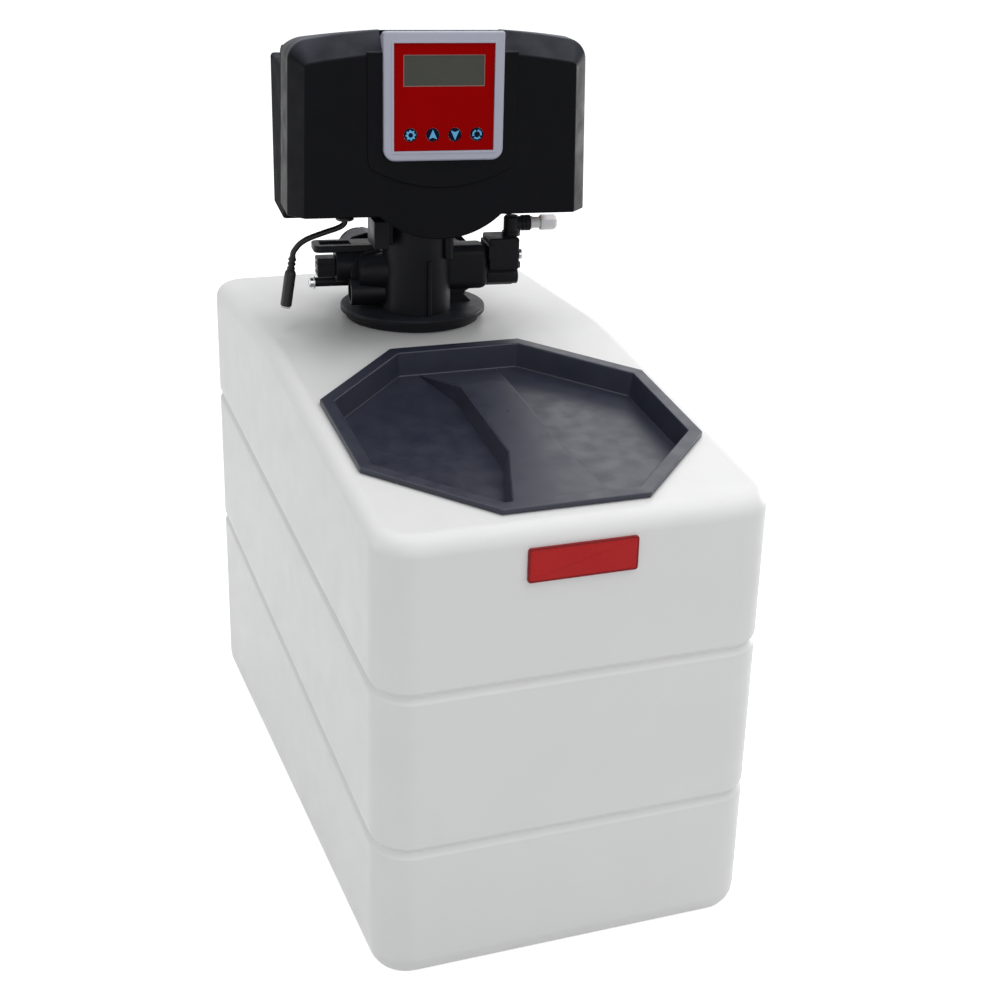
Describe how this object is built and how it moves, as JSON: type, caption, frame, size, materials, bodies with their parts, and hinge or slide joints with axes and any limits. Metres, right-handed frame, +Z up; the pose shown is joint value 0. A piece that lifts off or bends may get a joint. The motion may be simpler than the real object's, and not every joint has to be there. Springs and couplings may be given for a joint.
{
  "type": "cabinet water softener",
  "caption": "Compact cabinet water softener: white salt cabinet with a black octagonal lid, and a control valve with a red display panel over an upright resin tank.",
  "frame": {"origin": "middle of the cabinet's underside", "axes": "+Z up, front faces -Y, right side seen from the front at +X"},
  "size_m": [0.206, 0.4036, 0.4475],
  "materials": {
    "shell_white": "satin white moulded polyethylene",
    "lid_black": "satin blue-black moulded plastic",
    "badge_red": "domed gloss red label, bare",
    "pale_plastic": "pale moulded plastic",
    "black_plastic": "satin black moulded plastic",
    "tank_blue": "wound glass-fibre tank",
    "resin_amber": "packed resin beads",
    "seal_rubber": "black rubber",
    "steel": "bright steel",
    "pinion_brass": "turned brass",
    "turbine_blue": "blue moulded plastic",
    "injector_red": "red moulded plastic",
    "tube_white": "milky white plastic",
    "bezel_silver": "silver-grey moulded plastic",
    "board_green": "lacquered board",
    "screen_grey": "switched-off liquid crystal glass",
    "panel_red": "red overlay foil, bare of lettering",
    "key_navy": "navy keys with pale icons",
    "tip_pale": "pale insulating sleeve"
  },
  "bodies": {
    "cabinet": {"cabinet": "shell_white", "front_badge": "badge_red", "overflow_elbow": "pale_plastic", "overflow_nut": "pale_plastic", "brine_well": "pale_plastic", "brine_well_cap": "black_plastic", "air_check": "pale_plastic", "float_valve": "black_plastic", "tank_boot": "black_plastic", "resin_tank": "tank_blue", "resin_bed": "resin_amber", "lower_distributor": "pale_plastic", "riser_tube": "pale_plastic", "upper_distributor": "pale_plastic", "tank_o_ring": "seal_rubber", "riser_o_ring": "seal_rubber", "valve_body": "black_plastic", "seal_cage": "pale_plastic", "piston_seals": "seal_rubber", "bore_cap": "black_plastic", "inlet_spigot": "black_plastic", "outlet_spigot": "black_plastic", "spigot_nuts": "black_plastic", "meter_cage": "pale_plastic", "injector_block": "black_plastic", "injector_nozzle": "injector_red", "injector_throat": "injector_red", "injector_screws": "steel", "brine_elbow": "black_plastic", "tube_fitting": "tube_white", "tube_nut": "tube_white", "drain_nut": "black_plastic", "port_plug": "black_plastic", "port_clip": "black_plastic", "clip_screw": "steel", "back_case": "black_plastic", "gear_bracket": "black_plastic", "drive_motor": "steel", "front_cover": "black_plastic", "cover_screws": "steel", "display_bezel": "bezel_silver", "circuit_board": "board_green", "display_screen": "screen_grey", "display_panel": "panel_red", "lead_gland": "seal_rubber", "power_lead": "seal_rubber", "power_jack": "black_plastic", "jack_tip": "tip_pale"},
    "lid": {"salt_lid": "lid_black"},
    "settings_key": {"settings_key": "key_navy"},
    "up_key": {"up_key": "key_navy"},
    "down_key": {"down_key": "key_navy"},
    "cycle_key": {"cycle_key": "key_navy"},
    "drive_gear": {"drive_gear": "pale_plastic"},
    "motor_pinion": {"motor_pinion": "pinion_brass"},
    "piston": {"piston": "black_plastic", "piston_rod": "steel"},
    "meter_turbine": {"meter_turbine": "turbine_blue"},
    "float": {"float_rod": "pale_plastic", "brine_float": "pale_plastic"}
  },
  "joints": [
    {"name": "lid_lift", "type": "slide", "parent": "cabinet", "child": "lid", "axis": [0, -0.1392, 0.9903], "range_m": [0, 0.055]},
    {"name": "settings_press", "type": "slide", "parent": "cabinet", "child": "settings_key", "axis": [0.1219, 0.9925, 0], "range_m": [0, 0.0005], "stiffness_N_per_m": 1500},
    {"name": "up_press", "type": "slide", "parent": "cabinet", "child": "up_key", "axis": [0.1219, 0.9925, 0], "range_m": [0, 0.0005], "stiffness_N_per_m": 1500},
    {"name": "down_press", "type": "slide", "parent": "cabinet", "child": "down_key", "axis": [0.1219, 0.9925, 0], "range_m": [0, 0.0005], "stiffness_N_per_m": 1500},
    {"name": "cycle_press", "type": "slide", "parent": "cabinet", "child": "cycle_key", "axis": [0.1219, 0.9925, 0], "range_m": [0, 0.0005], "stiffness_N_per_m": 1500},
    {"name": "gear_turn", "type": "hinge", "parent": "cabinet", "child": "drive_gear", "pos_m": [-0.00646, 0.05809, 0.354], "axis": [0, 0, 1], "range_deg": [0, 1800]},
    {"name": "pinion_turn", "type": "hinge", "parent": "cabinet", "child": "motor_pinion", "pos_m": [0.02356, 0.0544, 0.354], "axis": [0, 0, 1], "range_deg": [-7200, 0]},
    {"name": "piston_stroke", "type": "slide", "parent": "cabinet", "child": "piston", "axis": [0, 0, 1], "range_m": [0, 0.015]},
    {"name": "turbine_spin", "type": "hinge", "parent": "cabinet", "child": "meter_turbine", "pos_m": [0.02083, 0.08345, 0.302], "axis": [0.1219, 0.9925, 0], "continuous": true},
    {"name": "float_rise", "type": "slide", "parent": "cabinet", "child": "float", "axis": [0, 0, 1], "range_m": [0, 0.03]}
  ],
  "couplings": [
    {"joint": "gear_turn", "follows": "piston_stroke", "rad_per_m": 2094.4},
    {"joint": "pinion_turn", "follows": "piston_stroke", "rad_per_m": -8377.6}
  ]
}
